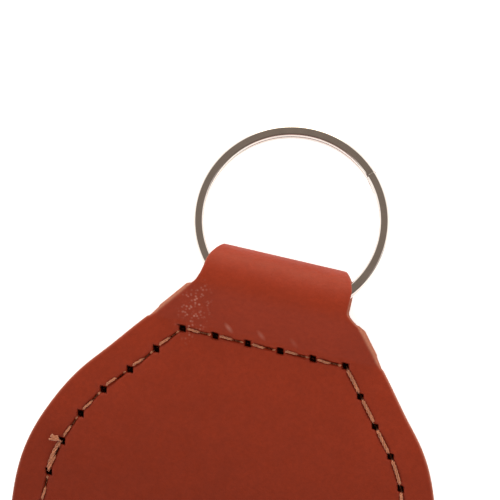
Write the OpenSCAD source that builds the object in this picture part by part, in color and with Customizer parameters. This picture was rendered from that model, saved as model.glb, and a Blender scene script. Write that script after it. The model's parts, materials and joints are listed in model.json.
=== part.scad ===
// Leather key fob on a split ring, lying on its back on a table.
// One leather blank is folded over the ring, and a lockstitched seam closes its two layers.
// The loop at the fold is thicker than the body, so the fob leans on the loop and on its far rim,
// and the ring leans on the table with its far edge.

/* [Leather blank] */
// Diameter of the round body
body_d = 54.4; // [44:0.1:66]
// Thickness of the leather
leather_t = 1.5; // [1.2:0.05:2]
// Angle between each shoulder and the fob's long axis
shoulder_a = 40; // [34:1:46]
// Height of the swing axis above the corners where the shoulders meet the neck
axis_rise = -0.25; // [-1:0.05:1]
// Radius that blends each shoulder into the neck
neck_fillet_r = 4.5; // [2:0.5:6]
// Radius of the neck's corners at the fold
fold_corner_r = 3.5; // [1:0.5:4]
// How far below the top of the fold its corners start to round
fold_corner_drop = 2.6; // [1:0.05:3]
// Gap between the two layers
ply_gap = 0.1; // [0.02:0.01:0.2]

/* [Seam] */
// Distance of the stitches from the edge
seam_margin = 4; // [3:0.1:5]
// Nominal length of one stitch
stitch_len = 4.25; // [3:0.05:6]
// Run of the sloping layers between the loop and the bend beside the seam
slope_run = 1.65; // [1:0.05:3]
// Distance from that bend to the straight row of stitches
row_drop = 0.8; // [0.6:0.05:2]
// Diameter of the thread
thread_d = 0.55; // [0.4:0.05:0.7]
// How far a stitch stands out of the leather
thread_proud = 0.15; // [0.05:0.01:0.18]
// Gap between the thread and the leather round it
thread_gap = 0.03; // [0.02:0.01:0.1]
// Long diagonal of a stitch hole
hole_len = 1.15; // [1:0.05:1.5]
// Slant of the stitch holes from the fob's width
hole_slant = -38; // [-60:1:60]

/* [Split ring] */
// Outer diameter of the ring
ring_od = 25; // [20:0.5:32]
// Width of the flat wire, measured along the ring's radius
wire_w = 1.25; // [1:0.05:1.6]
// Thickness of one coil of the wire
coil_t = 1; // [0.8:0.05:1.2]
// Rounding of the wire's edges
wire_edge_r = 0.25; // [0.1:0.05:0.35]
// Gap between the two coils
coil_gap = 0.05; // [0.02:0.01:0.1]
// Arc over which the wire climbs from one coil to the other
step_arc = 16; // [12:1:24]
// Place of that step round the ring, from its right side
step_turn = 39; // [0:1:90]
// How far the ring reaches past the swing axis, into the loop
ring_seat = 2.9; // [2.5:0.05:3.2]
// How far the ring hangs to one side of the loop's middle
ring_shift = -0.4; // [-0.5:0.05:0.5]

/* [Swing] */
// Swing of the ring to each side of the fob's plane
swing_a = 75; // [45:1:80]
// Radial play of the ring in the loop
swing_gap = 0.07; // [0.05:0.01:0.3]
// Gap between the ring's inside and the outer face of the neck
neck_side_gap = 0.4; // [0.2:0.05:1]
// Room cut round the ring's path through the edges of the loop
path_gap = 0.2; // [0.15:0.05:0.4]

/* [Hidden] */
$fn = 96;

leather_color = "#8a3a24";
thread_color = "#b5713f";
nickel_color = "#b9b4ae";

// Ring
ring_r = ring_od / 2;
ring_in_r = ring_r - wire_w;
ring_half_h = coil_t + coil_gap / 2;
ring_reach = ring_r - ring_seat;      // from the swing axis to the ring's centre

// Loop
loop_in_r = sqrt(pow(ring_seat, 2) + pow(ring_half_h, 2)) + swing_gap;
loop_r = loop_in_r + leather_t;
half_h = leather_t + ply_gap / 2;     // from the fob's middle plane to a face
neck_half = sqrt(pow(ring_in_r, 2) - pow(ring_reach - loop_r, 2)) - neck_side_gap;

// Outline, with the centre of the round body at the origin and the ring towards +Y
body_r = body_d / 2;
shoulder_x = body_r * cos(shoulder_a);
shoulder_y = body_r * sin(shoulder_a);
corner_y = shoulder_y + (shoulder_x - neck_half) / tan(shoulder_a);
loop_y = corner_y + axis_rise;
fold_y = loop_y + loop_r;
fold_corner_y = fold_y - fold_corner_drop;
fillet_r = min(neck_fillet_r, (fold_corner_y - corner_y) / tan(shoulder_a / 2)); // ends below the corners
fillet_run = fillet_r * tan(shoulder_a / 2);

// Slope of the layers from the loop down to the seam
bend_y = loop_y - loop_r - slope_run;
bend_dist = sqrt(pow(loop_y - bend_y, 2) + pow(half_h, 2));
slope_a = asin(loop_r / bend_dist) - atan(half_h / (loop_y - bend_y));
inner_bend_y = bend_y + leather_t * tan(slope_a / 2);

// Seam: a straight row across the neck, then both sides parallel to the edge
seam_r = body_r - seam_margin;
row_y = bend_y - row_drop;
row_half = seam_r * cos(shoulder_a) - (row_y - seam_r * sin(shoulder_a)) * tan(shoulder_a);
seam_straight = (row_y - seam_r * sin(shoulder_a)) / cos(shoulder_a);
seam_arc = (90 + shoulder_a) * PI / 180 * seam_r;
seam_side = seam_straight + seam_arc; // from a corner to the middle of the bottom
row_count = round(2 * row_half / stitch_len);
side_count = round(2 * seam_side / stitch_len);

// Thread and stitch holes
thread_r = thread_d / 2;
stitch_z = half_h + thread_proud - thread_r;
knot_r = thread_r + thread_gap / 2;
hole_in_r = thread_r + thread_gap;
chord_rise = pow(stitch_len, 2) / (8 * seam_r); // of a straight stitch on the round part
groove_w = thread_d + 2 * (thread_gap + chord_rise);
hole_w = 2 * hole_in_r * hole_len / sqrt(pow(hole_len, 2) - 4 * pow(hole_in_r, 2));

// How the fob and the ring lie on the table
fob_reach = loop_y + body_r;
fob_tilt = asin(loop_r / sqrt(pow(fob_reach, 2) + pow(half_h, 2))) - atan(half_h / fob_reach);
edge_reach = ring_reach + ring_r - wire_edge_r;
edge_half_h = ring_half_h - wire_edge_r;
ring_tilt = asin((loop_r - wire_edge_r) / sqrt(pow(edge_reach, 2) + pow(edge_half_h, 2)))
            - atan(edge_half_h / edge_reach);
near_end = fob_reach * cos(fob_tilt) + half_h * sin(fob_tilt);
far_end = edge_reach * cos(ring_tilt) + edge_half_h * sin(ring_tilt) + wire_edge_r;
axis_y = (near_end - far_end) / 2;    // puts the origin under the middle of the whole length

span = 2 * (body_d + ring_od);        // longer than the whole object

// Points of an arc about c, from angle a to angle b
function arc(c, r, a, b, steps = 8) =
    [for (i = [0 : steps]) let (t = a + (b - a) * i / steps) c + r * [cos(t), sin(t)]];

// A point of the seam's right side, at a distance from the corner of the straight row
function side_point(s) =
    s < seam_straight
    ? [row_half + s * sin(shoulder_a), row_y - s * cos(shoulder_a)]
    : let (a = shoulder_a - (s - seam_straight) / seam_r * 180 / PI)
      [seam_r * cos(a), seam_r * sin(a)];

// A point of the closed side run, from the right corner round the bottom to the left one
function run_point(s) =
    s <= seam_side
    ? side_point(s)
    : let (p = side_point(2 * seam_side - s)) [-p.x, p.y];

holes = concat(
    [for (i = [0 : row_count - 1]) [-row_half + i * 2 * row_half / row_count, row_y]],
    [for (i = [0 : side_count - 1]) run_point(i * 2 * seam_side / side_count)]
);

// Turns a profile drawn in the side view, and its extrusion, onto the X axis
module along_x() {
    rotate([90, 0, 90])
        children();
}

// Lays the fob on the table: its loop and its far rim touch the plane z = 0
module lay_fob() {
    translate([0, axis_y, loop_r])
        rotate([fob_tilt, 0, 0])
            translate([0, -loop_y, 0])
                children();
}

// Puts the ring in the loop with its far edge on the table
module lay_ring() {
    translate([0, axis_y, loop_r])
        rotate([-ring_tilt, 0, 0])
            translate([ring_shift, ring_reach, 0])
                children();
}

// Plan of the folded blank: round body, straight shoulders and a neck with rounded corners
module blank_outline() {
    right = concat(
        [[shoulder_x, shoulder_y]],
        arc([neck_half + fillet_r, corner_y + fillet_run], fillet_r, 180 + shoulder_a, 180),
        arc([neck_half - fold_corner_r, fold_corner_y], fold_corner_r, 0, 90)
    );
    left = [for (i = [len(right) - 1 : -1 : 0]) [-right[i].x, right[i].y]];
    circle(body_r);
    polygon(concat(right, left));
}

// Side view of a fold of radius r whose layers run down to the half height h behind the bend
module fold_profile(r, h, bend) {
    translate([loop_y, 0])
        circle(r);
    polygon([
        [loop_y - r * sin(slope_a), r * cos(slope_a)],
        [bend, h],
        [-span / 2, h],
        [-span / 2, -h],
        [bend, -h],
        [loop_y - r * sin(slope_a), -r * cos(slope_a)]
    ]);
}

// Plan of the area inside the seam line, grown by g
module seam_area(g) {
    r = seam_r + g;
    top = row_y + g;
    intersection() {
        union() {
            circle(r);
            polygon([
                [r * cos(shoulder_a), r * sin(shoulder_a)],
                [r * cos(shoulder_a) - (top - r * sin(shoulder_a)) * tan(shoulder_a), top],
                [(top - r * sin(shoulder_a)) * tan(shoulder_a) - r * cos(shoulder_a), top],
                [-r * cos(shoulder_a), r * sin(shoulder_a)]
            ]);
        }
        translate([-body_r, -body_d])
            square([body_d, body_d + top]);
    }
}

// Shallow groove in which the stitches of one face lie
module seam_groove() {
    translate([0, 0, stitch_z - thread_r - thread_gap])
        linear_extrude(thread_d)
            difference() {
                seam_area(groove_w / 2);
                seam_area(-groove_w / 2);
            }
}

// Thread on one face: a straight stitch between each two holes, and a round knot where it turns down
module stitches() {
    for (i = [0 : len(holes) - 1]) {
        from = holes[i];
        run = holes[(i + 1) % len(holes)] - from;
        translate([from.x, from.y, stitch_z]) {
            sphere(r = knot_r);
            rotate([0, 90, atan2(run.y, run.x)])
                cylinder(d = thread_d, h = norm(run));
        }
    }
}

module legs() {
    for (p = holes)
        translate([p.x, p.y, 0])
            cylinder(d = thread_d, h = stitch_z);
}

// The slanted slits that the needle leaves in both layers
module stitch_holes() {
    for (p = holes)
        translate([p.x, p.y, 0])
            rotate([0, 0, hole_slant])
                linear_extrude(3 * half_h, center = true)
                    polygon([[hole_len / 2, 0], [0, hole_w / 2], [-hole_len / 2, 0], [0, -hole_w / 2]]);
}

// The room that the ring sweeps through the loop's edges as it swings about the X axis.
// The sweep runs past the swing's ends by the ring's own half thickness.
module ring_path() {
    over = asin(ring_half_h / loop_in_r);
    sweep = swing_a + over;
    translate([0, loop_y, 0])
        along_x()
            rotate([0, 0, -sweep])
                rotate_extrude(angle = 2 * sweep)
                    intersection() {
                        translate([ring_reach, ring_shift])
                            difference() {
                                circle(ring_r + path_gap);
                                circle(ring_in_r - path_gap);
                            }
                        translate([0, ring_shift - ring_r])
                            square([loop_r + 1, ring_od]);
                    }
}

// One blank: back layer, loop and front layer
module leather_fob() {
    color(leather_color)
        lay_fob()
            difference() {
                intersection() {
                    linear_extrude(4 * loop_r, center = true)
                        blank_outline();
                    along_x()
                        linear_extrude(span, center = true)
                            difference() {
                                fold_profile(loop_r, half_h, bend_y);
                                fold_profile(loop_in_r, ply_gap / 2, inner_bend_y);
                            }
                }
                ring_path();
                stitch_holes();
                for (face = [0, 1])
                    mirror([0, 0, face])
                        seam_groove();
            }
}

// Top thread of the lockstitch, seen on the front
module needle_thread() {
    color(thread_color)
        lay_fob() {
            stitches();
            legs();
        }
}

// Bottom thread of the lockstitch, seen on the back
module bobbin_thread() {
    color(thread_color)
        lay_fob()
            mirror([0, 0, 1]) {
                stitches();
                legs();
            }
}

// Section of the flat wire, with rounded edges, at the ring's radius
module wire_section() {
    flat_w = wire_w - 2 * wire_edge_r;
    flat_t = coil_t - 2 * wire_edge_r;
    translate([ring_r - wire_w / 2, 0]) {
        square([wire_w, flat_t], center = true);
        square([flat_w, coil_t], center = true);
        for (x = [-1, 1], z = [-1, 1])
            translate([x * flat_w / 2, z * flat_t / 2])
                circle(wire_edge_r);
    }
}

// Short stretch where the wire climbs from the lower coil to the upper one
module wire_step() {
    reach = ring_r * sin(step_arc / 2) + wire_edge_r;
    climb = ring_in_r * sin(step_arc / 2) - wire_edge_r;
    gap = coil_gap / 2;
    intersection() {
        difference() {
            cylinder(r = ring_r, h = 2 * ring_half_h, center = true);
            cylinder(r = ring_in_r, h = 4 * ring_half_h, center = true);
        }
        along_x()
            linear_extrude(ring_od)
                polygon([
                    [-reach, -ring_half_h], [-climb, -ring_half_h], [climb, gap], [reach, gap],
                    [reach, ring_half_h], [climb, ring_half_h], [-climb, -gap], [-reach, -gap]
                ]);
    }
}

// Two coils of one flat wire
module split_ring() {
    color(nickel_color)
        lay_ring()
            rotate([0, 0, step_turn]) {
                for (level = [-1, 1])
                    translate([0, 0, level * (coil_t + coil_gap) / 2])
                        rotate([0, 0, step_arc / 2])
                            rotate_extrude(angle = 360 - step_arc)
                                wire_section();
                wire_step();
            }
}

leather_fob();
needle_thread();
bobbin_thread();
split_ring();
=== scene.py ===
"""Leather key fob on a split ring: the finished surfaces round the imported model.

One leather blank is folded over the ring and stitched round its edge. The leather, its two
threads and the ring are each worked out with numpy in the fob's or the ring's own frame, in
millimetres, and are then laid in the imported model's frame, in metres.
"""
import json
import math

import bmesh
import bpy
import numpy as np
from bpy.props import (FloatProperty, FloatVectorProperty, IntProperty,
                       PointerProperty)
from mathutils import Matrix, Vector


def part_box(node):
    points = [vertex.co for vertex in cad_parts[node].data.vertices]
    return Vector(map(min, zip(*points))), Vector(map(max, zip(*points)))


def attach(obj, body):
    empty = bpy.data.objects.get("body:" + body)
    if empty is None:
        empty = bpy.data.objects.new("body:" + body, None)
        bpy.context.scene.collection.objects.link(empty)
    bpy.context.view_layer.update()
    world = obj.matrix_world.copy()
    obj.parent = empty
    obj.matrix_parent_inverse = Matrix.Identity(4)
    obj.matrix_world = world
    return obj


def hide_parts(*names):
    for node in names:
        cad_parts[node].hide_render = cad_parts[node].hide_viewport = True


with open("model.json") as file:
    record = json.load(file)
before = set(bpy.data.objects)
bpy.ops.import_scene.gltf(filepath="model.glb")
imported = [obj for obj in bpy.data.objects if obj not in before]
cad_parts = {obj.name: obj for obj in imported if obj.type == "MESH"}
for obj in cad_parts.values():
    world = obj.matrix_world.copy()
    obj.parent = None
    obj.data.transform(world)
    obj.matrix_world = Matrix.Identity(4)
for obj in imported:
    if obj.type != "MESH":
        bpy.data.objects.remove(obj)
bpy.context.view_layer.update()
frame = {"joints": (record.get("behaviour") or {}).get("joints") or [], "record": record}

bl_info = {
    "name": "Leather Key Fob on a Split Ring",
    "version": (1, 0, 0),
    "blender": (4, 5, 0),
    "location": "3D View > Sidebar > Key Fob",
    "description": "Builds the stitched leather, the threads and the ring of a key fob",
    "category": "Add Mesh",
}

MM = 0.001
WELD = 1e-4          # mm, points closer than this are one point

# The fob's frame: centre of the round body, its long axis and its upward normal, from the mounts
MOUNTS = {m["name"]: m for m in frame["record"]["mounts"]}
FRONT_AT = np.array(MOUNTS["front_face"]["pos_m"]) / MM
BACK_AT = np.array(MOUNTS["back_face"]["pos_m"]) / MM
FOB_AT = (FRONT_AT + BACK_AT) / 2
FOB_Z = (FRONT_AT - BACK_AT) / np.linalg.norm(FRONT_AT - BACK_AT)
FOB_X = np.array([1.0, 0.0, 0.0])
FOB_Y = np.cross(FOB_Z, FOB_X)
HALF_H = np.linalg.norm(FRONT_AT - BACK_AT) / 2
HINGE_AT = np.array(frame["joints"][0]["pos_m"]) / MM
LOOP_Y = float((HINGE_AT - FOB_AT) @ FOB_Y)

# The ring's frame: its centre and its axis, from its mount
RING_AT = np.array(MOUNTS["key_ring"]["pos_m"]) / MM
RING_Z = np.array(MOUNTS["key_ring"]["axis"])
RING_Z = RING_Z / np.linalg.norm(RING_Z)
RING_X = FOB_X
RING_Y = np.cross(RING_Z, RING_X)


def width_of(node):
    """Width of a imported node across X, in mm."""
    low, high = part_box(node)
    return (high[0] - low[0]) / MM


BODY_R = width_of("leather_fob") / 2
RING_R = width_of("split_ring") / 2

# Plan of the folded blank, in mm from the centre of the round body
SHOULDER = math.radians(40)      # between each shoulder and the long axis
NECK_HALF = 9.7
NECK_FILLET = 4.5
FOLD_CORNER = 5.0
FOLD_DROP = 3.5
CORNER_Y = (BODY_R - NECK_HALF * math.cos(SHOULDER)) / math.sin(SHOULDER)

# Seam
SEAM_MARGIN = 4.0
SEAM_R = BODY_R - SEAM_MARGIN
ROW_COUNT = 5                    # stitches across the neck
SIDE_COUNT = 30                  # stitches round the body
BEND_RUN = 6.2958                # from the swing axis to the bend behind the straight row
ROW_DROP = 0.8                   # from that bend to the straight row
SIN_A, COS_A = math.sin(SHOULDER), math.cos(SHOULDER)
ROW_Y = LOOP_Y - BEND_RUN - ROW_DROP
ROW_HALF = (SEAM_R - ROW_Y * SIN_A) / COS_A
STRAIGHT = (ROW_Y - SEAM_R * SIN_A) / COS_A
SIDE_RUN = STRAIGHT + (math.pi / 2 + SHOULDER) * SEAM_R
ROW_PITCH = 2 * ROW_HALF / ROW_COUNT
SIDE_PITCH = 2 * SIDE_RUN / SIDE_COUNT

# Loop and ring
LEATHER_T = 1.5
COIL_T = 1.0
COIL_GAP = 0.05                  # between the two coils
RING_SEAT = 2.9                  # from the swing axis to the bottom of the ring
SWING_GAP = 0.07                 # between the ring's corners and the loop, all the way round


def smooth(a, b, x):
    """0 below a, 1 above b, and an even S-shaped rise between them."""
    t = np.clip((x - a) / (b - a), 0.0, 1.0)
    return t * t * (3.0 - 2.0 * t)


def bell(x, width):
    """A round hump of height 1 at x = 0 that dies away over width."""
    return np.exp(-(x / width) ** 2)


def lay(points, at, x_axis, y_axis, z_axis):
    """Points of a piece's own frame, in mm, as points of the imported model's frame, in mm."""
    return at + points[..., :1] * x_axis + points[..., 1:2] * y_axis + points[..., 2:3] * z_axis


def cells(rows, cols, start, closed):
    """Two triangles for each cell of a grid of points numbered row by row from start."""
    across = cols if closed else cols - 1
    row = np.arange(rows - 1)[:, None] * cols + start
    col = np.arange(across)[None, :]
    a, b = row + col, row + (col + 1) % cols
    d, e = a + cols, b + cols
    first = np.stack([a, b, e], axis=-1).reshape(-1, 3)
    second = np.stack([a, e, d], axis=-1).reshape(-1, 3)
    return np.concatenate([first, second])


def weld(blocks):
    """One surface from grids of points: equal points become one, and closed-up cells and
    pairs of cells pressed flat on each other go."""
    points, values, faces, start = [], [], [], 0
    for grid, value, closed in blocks:
        rows, cols = grid.shape[:2]
        points.append(grid.reshape(-1, 3))
        values.append(np.broadcast_to(value, grid.shape[:2]).reshape(-1))
        faces.append(cells(rows, cols, start, closed))
        start += rows * cols
    points, values, faces = map(np.concatenate, (points, values, faces))
    key = np.round(points / WELD).astype(np.int64)
    _, first, index = np.unique(key, axis=0, return_index=True, return_inverse=True)
    faces = index.reshape(-1)[faces]
    a, b, c = faces.T
    faces = faces[(a != b) & (b != c) & (c != a)]
    _, same, seen = np.unique(np.sort(faces, axis=1), axis=0, return_inverse=True,
                              return_counts=True)
    return points[first], values[first], faces[seen[same.reshape(-1)] == 1]


def add_piece(name, points, faces, values=None, value_name=None):
    """A smooth-shaded mesh object whose faces point outwards, from points in mm."""
    mesh = bpy.data.meshes.new(name)
    mesh.from_pydata((points * MM).tolist(), [], faces.tolist())
    work = bmesh.new()
    work.from_mesh(mesh)
    bmesh.ops.recalc_face_normals(work, faces=work.faces[:])
    work.to_mesh(mesh)
    work.free()
    mesh.polygons.foreach_set("use_smooth", np.ones(len(mesh.polygons), dtype=bool))
    if values is not None:
        layer = mesh.attributes.new(value_name, "FLOAT", "POINT")
        layer.data.foreach_set("value", values.astype(np.float32))
    mesh.update()
    piece = bpy.data.objects.new(name, mesh)
    bpy.context.scene.collection.objects.link(piece)
    return piece


# ---------------------------------------------------------------- seam


def side_point(run):
    """Point of the right side of the seam, at a run along it from the straight row's corner."""
    turn = SHOULDER - (run - STRAIGHT) / SEAM_R
    on_line = run < STRAIGHT
    x = np.where(on_line, ROW_HALF + run * SIN_A, SEAM_R * np.cos(turn))
    y = np.where(on_line, ROW_Y - run * COS_A, SEAM_R * np.sin(turn))
    return x, y


def hole_places():
    """Plan points of the stitch holes: the row from left to right, then round the body."""
    row = np.arange(ROW_COUNT) / ROW_COUNT
    run = np.arange(SIDE_COUNT) * SIDE_PITCH
    half_run = np.minimum(run, 2 * SIDE_RUN - run)
    x, y = side_point(half_run)
    x = np.where(run <= SIDE_RUN + 1e-6, x, -x)
    top = np.stack([-ROW_HALF + 2 * ROW_HALF * row, np.full(ROW_COUNT, ROW_Y)], axis=-1)
    return np.concatenate([top, np.stack([x, y], axis=-1)])


HOLES = hole_places()


def seam_reach(x, y):
    """How far each plan point is outside the row and the sides, and its run along the sides."""
    ax = np.abs(x)
    turn = np.arctan2(y, ax)
    on_arc = turn < SHOULDER
    off_side = np.where(on_arc, np.hypot(ax, y), ax * COS_A + y * SIN_A) - SEAM_R
    off_row = y - ROW_Y
    line_run = (ax - ROW_HALF) * SIN_A - (y - ROW_Y) * COS_A
    run = np.where(on_arc, STRAIGHT + (SHOULDER - turn) * SEAM_R, line_run)
    run = np.where(x >= 0, run, 2 * SIDE_RUN - run)
    return off_row, off_side, run


def sunk_part(u):
    """1 where a stitch of the row and of the left side has pulled into the leather."""
    return smooth(0.44, 0.56, u) * (1 - smooth(0.76, 0.84, u))


def pulled_stitches():
    """True for the stitches that were drawn tight: the row's and the left side's."""
    k = np.arange(len(HOLES))
    return (k < ROW_COUNT) | (k >= ROW_COUNT + SIDE_COUNT // 2 + 1)


# Relief beside the seam, in mm
GROOVE_REACH = 0.27              # half width of the groove under the thread
GROOVE_PINCH = 0.1               # how much narrower it is where a stitch has sunk
DIP_REACH = 1.2                  # half width of the wide dip along the seam
FADE_RUN = 0.4                   # over which the groove fades at the ends of the row
LEFT_RUN = 6.0                   # over which the stitches of the left side become sunk ones
PIT_WALL = (0.78, 1.12)          # of a hole's half diagonals, where its wall starts and ends
LIP_AT = 1.7                     # of a hole's half diagonals, the crest of its lip
LIP_HEIGHT, LIP_REACH = 0.05, 0.5
PUFF_HEIGHT, PUFF_REACH = 0.07, 0.35
PUFF_AT = (-0.75, 0.45)          # from a hole to the small swelling beside it


def relief(x, y, settings):
    """Height of the leather over its plane, in mm, at plan points of a face.

    It is the sum of a wide dip along the seam, a narrow groove under the thread, which is
    deeper where the stitch has sunk, a steep slanted pit with a low lip at each hole, a small
    swelling beside each hole, and a slow waviness made of crossed sine waves.
    """
    off_row, off_side, run = seam_reach(x, y)
    on_row = 1 - smooth(ROW_HALF, ROW_HALF + FADE_RUN, np.abs(x))
    on_side = 1 - smooth(ROW_Y, ROW_Y + FADE_RUN, y)
    row_u = (x + ROW_HALF) / ROW_PITCH % 1.0
    side_u = run / SIDE_PITCH % 1.0
    row_sunk = sunk_part(row_u)
    side_sunk = sunk_part(side_u) * smooth(SIDE_RUN, SIDE_RUN + LEFT_RUN, run)
    row_deep = settings.groove_depth + settings.sunk_depth * row_sunk
    side_deep = settings.groove_depth + settings.sunk_depth * side_sunk
    row_reach = GROOVE_REACH - GROOVE_PINCH * row_sunk
    side_reach = GROOVE_REACH - GROOVE_PINCH * side_sunk
    height = -np.maximum(on_row * row_deep * bell(off_row, row_reach),
                         on_side * side_deep * bell(off_side, side_reach))
    height -= settings.seam_dip * np.maximum(on_row * bell(off_row, DIP_REACH),
                                             on_side * bell(off_side, DIP_REACH))
    slant = math.radians(settings.hole_slant)
    dx = x[..., None] - HOLES[:, 0]
    dy = y[..., None] - HOLES[:, 1]
    along = dx * math.cos(slant) + dy * math.sin(slant)
    aside = dy * math.cos(slant) - dx * math.sin(slant)
    reach = np.abs(along) / (settings.hole_length / 2) + np.abs(aside) / (settings.hole_width / 2)
    nearest = reach.min(axis=-1)
    height += LIP_HEIGHT * bell(nearest - LIP_AT, LIP_REACH)
    away = np.hypot(dx - PUFF_AT[0], dy - PUFF_AT[1])
    height += PUFF_HEIGHT * bell(away.min(axis=-1), PUFF_REACH)
    height += 0.05 * np.sin(0.34 * x + 1.3) * np.sin(0.29 * y + 0.4)
    height += 0.012 * np.sin(1.7 * x + 0.9 * y) * np.sin(1.3 * y - 0.8 * x + 1.0)
    pit = 1 - smooth(*PIT_WALL, nearest)
    return height * (1 - pit) - settings.hole_depth * pit


# ---------------------------------------------------------------- leather

# Places of the columns within one stitch, closer together beside the holes
COLUMN_STEPS = np.array([0.0, 0.031, 0.064, 0.099, 0.137, 0.188, 0.27, 0.376,
                         0.5, 0.624, 0.73, 0.812, 0.863, 0.901, 0.936, 0.969])
SPLIT_COLUMN = 9                 # of the side run, where the panel passes into the loop
INNER_SCALES = np.array([0.0, 0.08, 0.16, 0.25, 0.34, 0.43, 0.52, 0.60, 0.68, 0.75,
                         0.81, 0.86, 0.905, 0.94, 0.97])
SEAM_ROWS = np.array([-1.3, -1.05, -0.85, -0.7, -0.58, -0.48, -0.39, -0.3, -0.2, -0.1])
OUTER_PARTS = np.array([0.0, 0.028, 0.055, 0.085, 0.115, 0.15, 0.19, 0.24, 0.31, 0.4,
                        0.5, 0.6, 0.7, 0.79, 0.87, 0.94, 1.0])
EDGE_R = 0.4                     # rounding of the cut edge on the grain side
FLESH_R = 0.15                   # and on the flesh side
SPLIT_RUN = COLUMN_STEPS[SPLIT_COLUMN] * SIDE_PITCH
SPLIT_OUT = SEAM_MARGIN - EDGE_R
SPLIT_X = ROW_HALF + SPLIT_RUN * SIN_A + SPLIT_OUT * COS_A
SPLIT_Y = ROW_Y - SPLIT_RUN * COS_A + SPLIT_OUT * SIN_A


def columns():
    """Row fraction (-1 to 1, or outside it off the row) and side run of every column."""
    k = np.arange(ROW_COUNT)[:, None]
    row = (-1 + 2 * (k + COLUMN_STEPS) / ROW_COUNT).reshape(-1)
    k = np.arange(SIDE_COUNT)[:, None]
    run = ((k + COLUMN_STEPS) * SIDE_PITCH).reshape(-1)
    return row, run


def contour(g):
    """The seam line grown by g, one point for each column: the row, a shoulder, the arc."""
    row, run = columns()
    r, top = SEAM_R + g, ROW_Y + g
    corner = (r - top * SIN_A) / COS_A
    half_run = np.minimum(run, 2 * SIDE_RUN - run)
    part = half_run / STRAIGHT
    turn = SHOULDER - (half_run - STRAIGHT) / SEAM_R
    on_line = half_run < STRAIGHT
    x = np.where(on_line, corner + part * (r * COS_A - corner), r * np.cos(turn))
    y = np.where(on_line, top + part * (r * SIN_A - top), r * np.sin(turn))
    x = np.where(run <= SIDE_RUN + 1e-6, x, -x)
    x = np.concatenate([row * corner, x])
    y = np.concatenate([np.full(row.shape, top), y])
    return np.stack([x, y], axis=-1)


def edge_line():
    """Where the panel's face ends, and the outward direction there, for each column.

    Across the neck it is the line where the panel passes into the loop. Elsewhere it is the
    outline drawn in by the rounding of the cut edge.
    """
    row, run = columns()
    half_run = np.minimum(run, 2 * SIDE_RUN - run)
    right = run <= SIDE_RUN + 1e-6
    x, y = side_point(half_run)
    turn = np.where(half_run < STRAIGHT, SHOULDER, SHOULDER - (half_run - STRAIGHT) / SEAM_R)
    out_x, out_y = np.cos(turn), np.sin(turn)
    x, y = x + SPLIT_OUT * out_x, y + SPLIT_OUT * out_y
    near = half_run < SPLIT_RUN - 1e-6
    start_x = ROW_HALF + 0.25
    x = np.where(near, start_x + (SPLIT_X - start_x) * half_run / SPLIT_RUN, x)
    y = np.where(near, SPLIT_Y, y)
    sign = np.where(right, 1.0, -1.0)
    point = np.stack([np.concatenate([row * start_x, x * sign]),
                      np.concatenate([np.full(row.shape, SPLIT_Y), y])], axis=-1)
    out = np.stack([np.concatenate([np.zeros(row.shape), out_x * sign]),
                    np.concatenate([np.ones(row.shape), out_y])], axis=-1)
    free = np.concatenate([np.zeros(row.shape, dtype=bool), ~near])
    return point, out, free


def plan_half(y):
    """Half width of the blank's plan at y: shoulder, fillet, neck, then the rounded corner."""
    fold_y = LOOP_Y + LOOP_R
    low_y = fold_y - FOLD_DROP
    fillet_y = CORNER_Y + NECK_FILLET * math.tan(SHOULDER / 2)
    wide = (BODY_R - y * SIN_A) / COS_A
    rise = np.sqrt(np.maximum(NECK_FILLET ** 2 - (y - fillet_y) ** 2, 0.0))
    half = np.where(y < fillet_y - NECK_FILLET * SIN_A, wide, NECK_HALF + NECK_FILLET - rise)
    half = np.where(y >= fillet_y, NECK_HALF, half)
    bow = np.sqrt(np.maximum(FOLD_CORNER ** 2 - (y - low_y) ** 2, 0.0))
    return np.where(y > low_y, NECK_HALF - FOLD_CORNER + bow, half)


class LoopPath:
    """Side view of the outer face: a hollow bend, a straight slope, and half the fold.

    A run below half takes the front half, and the back half is its mirror image.
    """

    def __init__(self, leather_t):
        ring_half_h = COIL_T + COIL_GAP / 2
        self.inner_r = math.hypot(RING_SEAT, ring_half_h) + SWING_GAP
        self.outer_r = self.inner_r + leather_t
        reach = math.hypot(BEND_RUN, HALF_H)
        self.slope = math.asin(self.outer_r / reach) - math.atan(HALF_H / BEND_RUN)
        short = LOOP_Y - BEND_RUN - SPLIT_Y
        self.bend_r = short / math.tan(self.slope / 2)
        self.bend_run = self.bend_r * self.slope
        self.slope_run = math.sqrt(reach ** 2 - self.outer_r ** 2) - short
        self.half = self.bend_run + self.slope_run + self.outer_r * (math.pi / 2 + self.slope)

    def at(self, run):
        """Y, Z and the outward normal's Y and Z at each run along the outer face."""
        back = run > self.half
        s = np.where(back, 2 * self.half - run, run)
        turn = np.clip(s / self.bend_r, 0.0, self.slope)
        y = SPLIT_Y + self.bend_r * np.sin(turn) + np.minimum(s, 0.0)
        z = HALF_H + self.bend_r * (1 - np.cos(turn))
        along = np.clip(s - self.bend_run, 0.0, self.slope_run)
        y, z = y + along * math.cos(self.slope), z + along * math.sin(self.slope)
        round_ = np.maximum(s - self.bend_run - self.slope_run, 0.0) / self.outer_r
        lean = np.where(round_ > 0, self.slope - round_, turn)
        ny, nz = -np.sin(lean), np.cos(lean)
        y = np.where(round_ > 0, LOOP_Y + self.outer_r * ny, y)
        z = np.where(round_ > 0, self.outer_r * nz, z)
        sign = np.where(back, -1.0, 1.0)
        return y, z * sign, ny, nz * sign


LOOP_R = LoopPath(LEATHER_T).outer_r
CLEAR_OUT = 9.98                 # half width that the ring passes, at the loop's outer face
CLEAR_IN = 8.9                   # and at its inner face
EDGE_LEAN = 0.7                  # mm that a fully leaning cut edge stands out in plan
SWEPT = 94.0                     # degrees from the fold's crest that the ring's path reaches
WIDENING = 1.5                   # growth of the half width past that path, per mm
WIDENING_EASE = 0.8              # mm over which that growth sets in

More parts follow.
